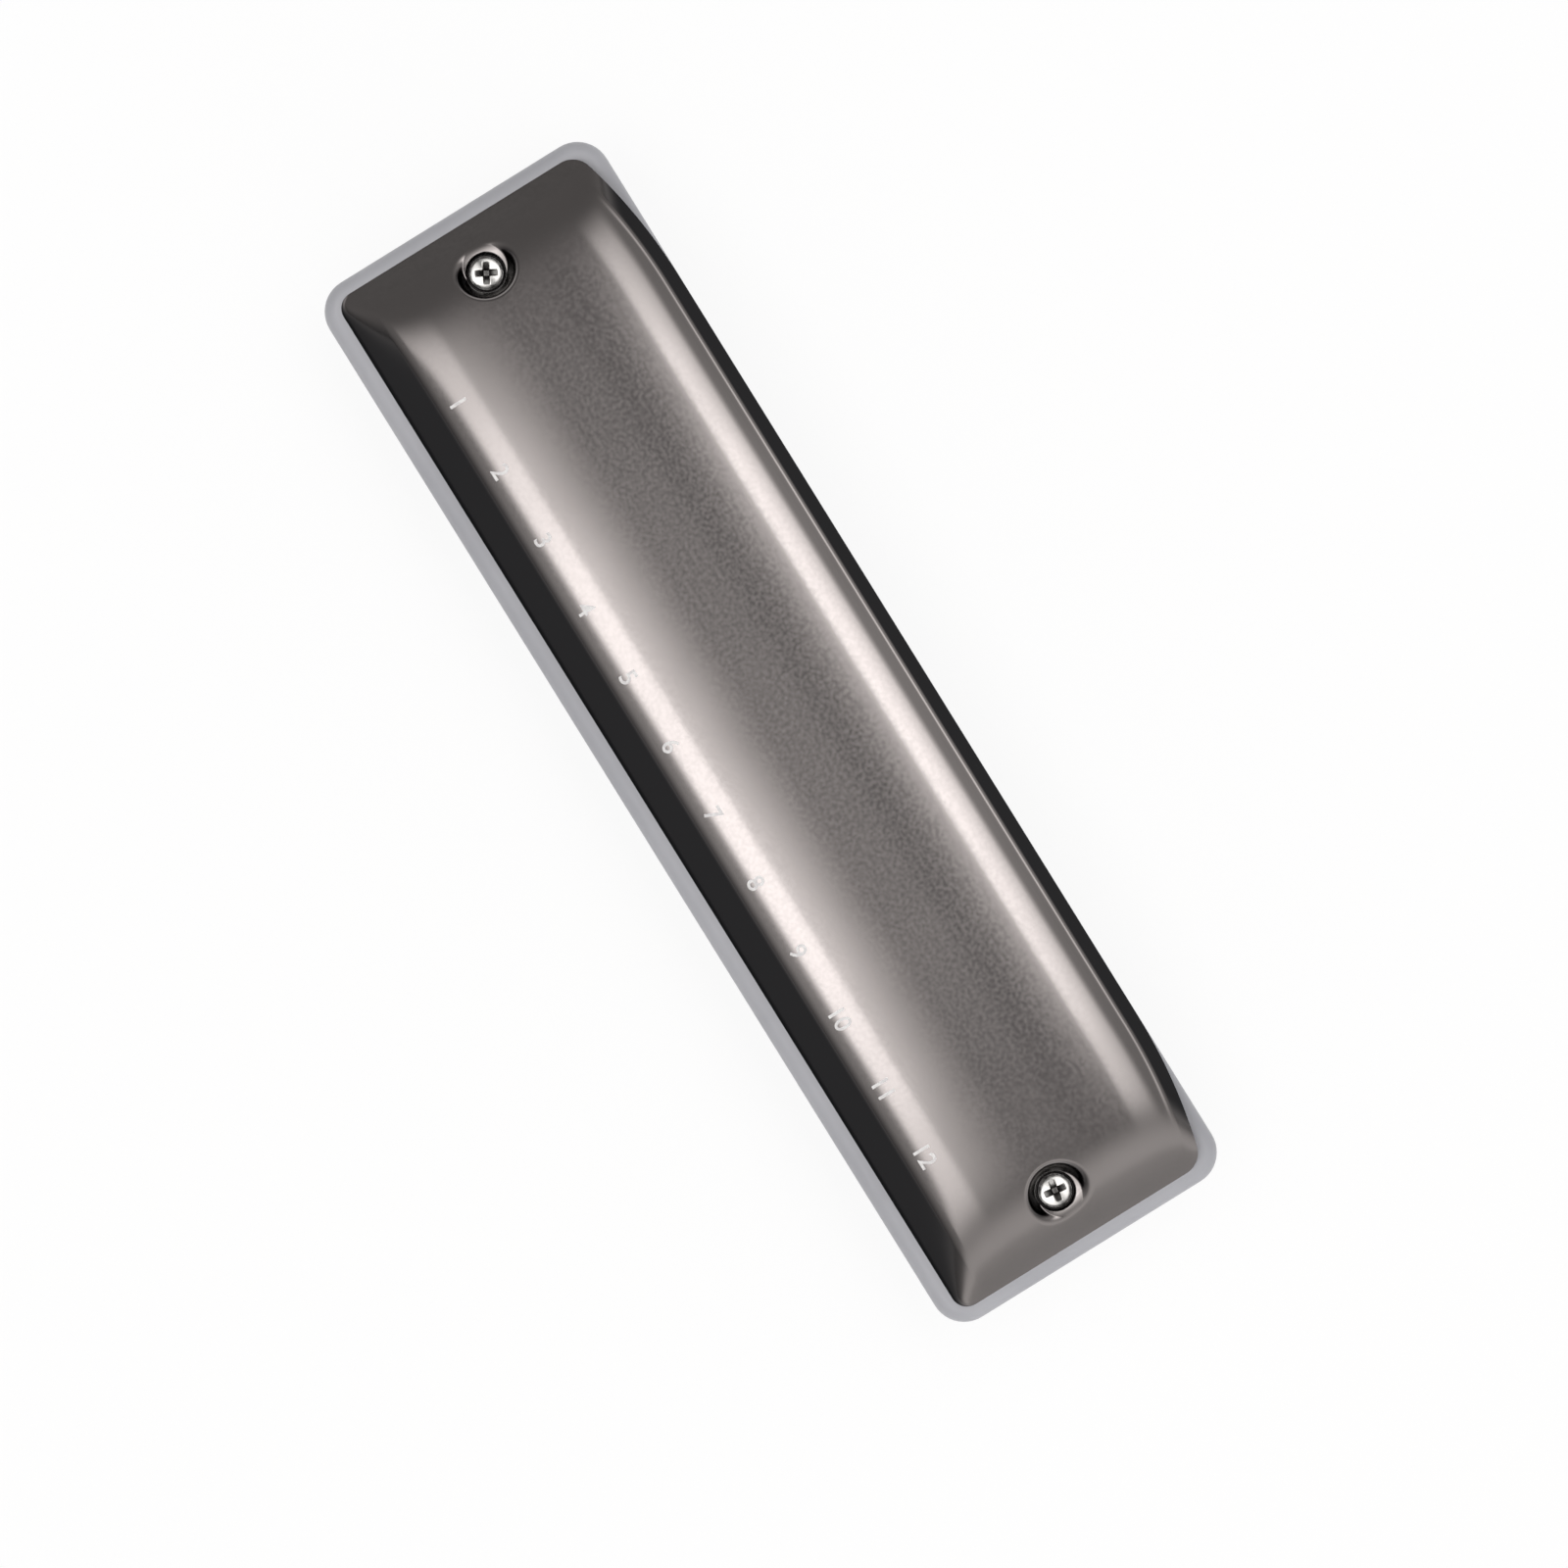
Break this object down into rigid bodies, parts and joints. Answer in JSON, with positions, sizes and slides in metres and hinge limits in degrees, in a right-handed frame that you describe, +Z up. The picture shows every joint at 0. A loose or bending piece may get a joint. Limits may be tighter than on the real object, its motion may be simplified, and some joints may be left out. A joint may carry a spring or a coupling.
{
  "type": "diatonic harmonica",
  "caption": "Slim free-reed mouth organ: pressed covers with open backs over brass reed plates, let into a moulded comb with a row of holes along one long side.",
  "frame": {"origin": "middle of the comb, halfway between the two covers", "axes": "+X along the instrument from hole 1 to hole 12, +Y from the mouth side to the back, +Z up through the upper cover"},
  "size_m": [0.114, 0.0306, 0.02],
  "materials": {
    "comb": "satin light grey moulding",
    "cover": "satin black nickel on pressed sheet",
    "reed_plate": "milled brass",
    "reed": "filed bronze",
    "rivet": "set brass",
    "screw": "bright nickel plate"
  },
  "bodies": {
    "root": {"comb": "comb", "upper_reed_plate": "reed_plate", "lower_reed_plate": "reed_plate", "blow_reed_roots": "reed", "draw_reed_roots": "reed", "blow_rivets": "rivet", "draw_rivets": "rivet", "plate_screws": "screw", "upper_cover": "cover", "lower_cover": "cover", "cover_screws": "screw", "cover_nuts": "screw"},
    "blow_reed_1": {"blow_reed_1": "reed"},
    "blow_reed_2": {"blow_reed_2": "reed"},
    "blow_reed_3": {"blow_reed_3": "reed"},
    "blow_reed_4": {"blow_reed_4": "reed"},
    "blow_reed_5": {"blow_reed_5": "reed"},
    "blow_reed_6": {"blow_reed_6": "reed"},
    "blow_reed_7": {"blow_reed_7": "reed"},
    "blow_reed_8": {"blow_reed_8": "reed"},
    "blow_reed_9": {"blow_reed_9": "reed"},
    "blow_reed_10": {"blow_reed_10": "reed"},
    "blow_reed_11": {"blow_reed_11": "reed"},
    "blow_reed_12": {"blow_reed_12": "reed"},
    "draw_reed_1": {"draw_reed_1": "reed"},
    "draw_reed_2": {"draw_reed_2": "reed"},
    "draw_reed_3": {"draw_reed_3": "reed"},
    "draw_reed_4": {"draw_reed_4": "reed"},
    "draw_reed_5": {"draw_reed_5": "reed"},
    "draw_reed_6": {"draw_reed_6": "reed"},
    "draw_reed_7": {"draw_reed_7": "reed"},
    "draw_reed_8": {"draw_reed_8": "reed"},
    "draw_reed_9": {"draw_reed_9": "reed"},
    "draw_reed_10": {"draw_reed_10": "reed"},
    "draw_reed_11": {"draw_reed_11": "reed"},
    "draw_reed_12": {"draw_reed_12": "reed"}
  },
  "joints": [
    {"name": "blow_reed_1_swing", "type": "hinge", "parent": "root", "child": "blow_reed_1", "pos_m": [-0.04125, -0.00935, 0.00284], "axis": [1, 0, 0], "range_deg": [-4, 4], "stiffness_Nm_per_rad": 0.00081},
    {"name": "blow_reed_2_swing", "type": "hinge", "parent": "root", "child": "blow_reed_2", "pos_m": [-0.03375, -0.00935, 0.00284], "axis": [1, 0, 0], "range_deg": [-4, 4], "stiffness_Nm_per_rad": 0.0007},
    {"name": "blow_reed_3_swing", "type": "hinge", "parent": "root", "child": "blow_reed_3", "pos_m": [-0.02625, -0.00935, 0.00284], "axis": [1, 0, 0], "range_deg": [-4, 4], "stiffness_Nm_per_rad": 0.0006},
    {"name": "blow_reed_4_swing", "type": "hinge", "parent": "root", "child": "blow_reed_4", "pos_m": [-0.01875, -0.00935, 0.00284], "axis": [1, 0, 0], "range_deg": [-4, 4], "stiffness_Nm_per_rad": 0.00051},
    {"name": "blow_reed_5_swing", "type": "hinge", "parent": "root", "child": "blow_reed_5", "pos_m": [-0.01125, -0.00935, 0.00284], "axis": [1, 0, 0], "range_deg": [-4, 4], "stiffness_Nm_per_rad": 0.00043},
    {"name": "blow_reed_6_swing", "type": "hinge", "parent": "root", "child": "blow_reed_6", "pos_m": [-0.00375, -0.00935, 0.00284], "axis": [1, 0, 0], "range_deg": [-4, 4], "stiffness_Nm_per_rad": 0.00036},
    {"name": "blow_reed_7_swing", "type": "hinge", "parent": "root", "child": "blow_reed_7", "pos_m": [0.00375, -0.00935, 0.00284], "axis": [1, 0, 0], "range_deg": [-4, 4], "stiffness_Nm_per_rad": 0.0003},
    {"name": "blow_reed_8_swing", "type": "hinge", "parent": "root", "child": "blow_reed_8", "pos_m": [0.01125, -0.00935, 0.00284], "axis": [1, 0, 0], "range_deg": [-4, 4], "stiffness_Nm_per_rad": 0.00025},
    {"name": "blow_reed_9_swing", "type": "hinge", "parent": "root", "child": "blow_reed_9", "pos_m": [0.01875, -0.00935, 0.00284], "axis": [1, 0, 0], "range_deg": [-4, 4], "stiffness_Nm_per_rad": 0.0002},
    {"name": "blow_reed_10_swing", "type": "hinge", "parent": "root", "child": "blow_reed_10", "pos_m": [0.02625, -0.00935, 0.00284], "axis": [1, 0, 0], "range_deg": [-4, 4], "stiffness_Nm_per_rad": 0.00016},
    {"name": "blow_reed_11_swing", "type": "hinge", "parent": "root", "child": "blow_reed_11", "pos_m": [0.03375, -0.00935, 0.00284], "axis": [1, 0, 0], "range_deg": [-4, 4], "stiffness_Nm_per_rad": 0.00013},
    {"name": "blow_reed_12_swing", "type": "hinge", "parent": "root", "child": "blow_reed_12", "pos_m": [0.04125, -0.00935, 0.00284], "axis": [1, 0, 0], "range_deg": [-4, 4], "stiffness_Nm_per_rad": 0.000099},
    {"name": "draw_reed_1_swing", "type": "hinge", "parent": "root", "child": "draw_reed_1", "pos_m": [-0.04125, 0.00535, -0.00416], "axis": [1, 0, 0], "range_deg": [-4, 4], "stiffness_Nm_per_rad": 0.00081},
    {"name": "draw_reed_2_swing", "type": "hinge", "parent": "root", "child": "draw_reed_2", "pos_m": [-0.03375, 0.00466, -0.00416], "axis": [1, 0, 0], "range_deg": [-4, 4], "stiffness_Nm_per_rad": 0.0007},
    {"name": "draw_reed_3_swing", "type": "hinge", "parent": "root", "child": "draw_reed_3", "pos_m": [-0.02625, 0.00397, -0.00416], "axis": [1, 0, 0], "range_deg": [-4, 4], "stiffness_Nm_per_rad": 0.0006},
    {"name": "draw_reed_4_swing", "type": "hinge", "parent": "root", "child": "draw_reed_4", "pos_m": [-0.01875, 0.00328, -0.00416], "axis": [1, 0, 0], "range_deg": [-4, 4], "stiffness_Nm_per_rad": 0.00051},
    {"name": "draw_reed_5_swing", "type": "hinge", "parent": "root", "child": "draw_reed_5", "pos_m": [-0.01125, 0.00259, -0.00416], "axis": [1, 0, 0], "range_deg": [-4, 4], "stiffness_Nm_per_rad": 0.00043},
    {"name": "draw_reed_6_swing", "type": "hinge", "parent": "root", "child": "draw_reed_6", "pos_m": [-0.00375, 0.00189, -0.00416], "axis": [1, 0, 0], "range_deg": [-4, 4], "stiffness_Nm_per_rad": 0.00036},
    {"name": "draw_reed_7_swing", "type": "hinge", "parent": "root", "child": "draw_reed_7", "pos_m": [0.00375, 0.0012, -0.00416], "axis": [1, 0, 0], "range_deg": [-4, 4], "stiffness_Nm_per_rad": 0.0003},
    {"name": "draw_reed_8_swing", "type": "hinge", "parent": "root", "child": "draw_reed_8", "pos_m": [0.01125, 0.00051, -0.00416], "axis": [1, 0, 0], "range_deg": [-4, 4], "stiffness_Nm_per_rad": 0.00025},
    {"name": "draw_reed_9_swing", "type": "hinge", "parent": "root", "child": "draw_reed_9", "pos_m": [0.01875, -0.00018, -0.00416], "axis": [1, 0, 0], "range_deg": [-4, 4], "stiffness_Nm_per_rad": 0.0002},
    {"name": "draw_reed_10_swing", "type": "hinge", "parent": "root", "child": "draw_reed_10", "pos_m": [0.02625, -0.00087, -0.00416], "axis": [1, 0, 0], "range_deg": [-4, 4], "stiffness_Nm_per_rad": 0.00016},
    {"name": "draw_reed_11_swing", "type": "hinge", "parent": "root", "child": "draw_reed_11", "pos_m": [0.03375, -0.00156, -0.00416], "axis": [1, 0, 0], "range_deg": [-4, 4], "stiffness_Nm_per_rad": 0.00013},
    {"name": "draw_reed_12_swing", "type": "hinge", "parent": "root", "child": "draw_reed_12", "pos_m": [0.04125, -0.00225, -0.00416], "axis": [1, 0, 0], "range_deg": [-4, 4], "stiffness_Nm_per_rad": 0.000099}
  ]
}
